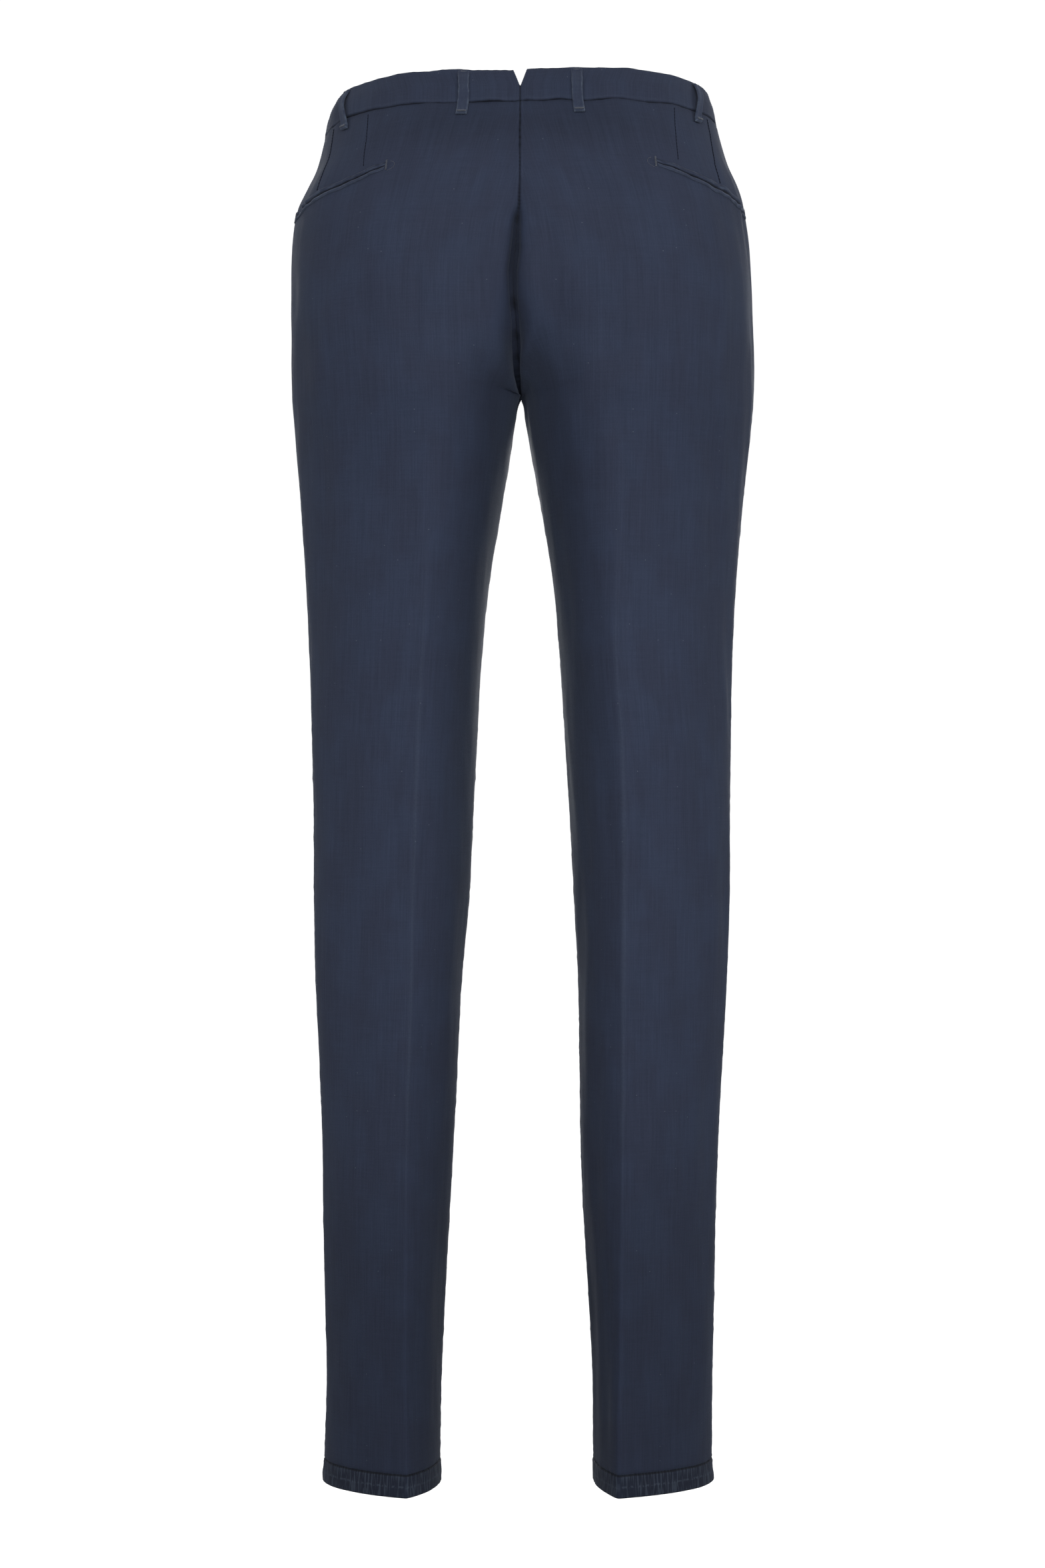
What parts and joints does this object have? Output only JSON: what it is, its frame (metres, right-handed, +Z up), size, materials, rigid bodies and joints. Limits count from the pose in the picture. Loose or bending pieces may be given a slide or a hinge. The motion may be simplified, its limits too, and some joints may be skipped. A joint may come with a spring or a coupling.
{
  "type": "chino trousers",
  "caption": "Men's slim chino trousers in navy cotton, filled out as when worn, with slanted back pockets, belt loops and pressed creases.",
  "frame": {"origin": "middle of the waist opening, level with the top of the waistband at the sides", "axes": "+Z up, +Y towards the back of the trousers, -Y towards the front, +X towards the wearer's left"},
  "size_m": [0.3454, 0.2515, 1.0408],
  "materials": {
    "navy_cotton": "fine cotton satin twill with a low sheen",
    "dark_horn": "satin button"
  },
  "bodies": {
    "root": {"back_left": "navy_cotton", "front_left": "navy_cotton", "waistband_left": "navy_cotton", "front_pocket_facing_left": "navy_cotton", "back_pocket_upper_welt_left": "navy_cotton", "back_pocket_lower_welt_left": "navy_cotton", "belt_loop_back_left": "navy_cotton", "belt_loop_side_left": "navy_cotton", "belt_loop_front_left": "navy_cotton", "back_right": "navy_cotton", "front_right": "navy_cotton", "waistband_right": "navy_cotton", "front_pocket_facing_right": "navy_cotton", "back_pocket_upper_welt_right": "navy_cotton", "back_pocket_lower_welt_right": "navy_cotton", "belt_loop_back_right": "navy_cotton", "belt_loop_side_right": "navy_cotton", "belt_loop_front_right": "navy_cotton", "waist_button": "dark_horn"}
  },
  "joints": []
}
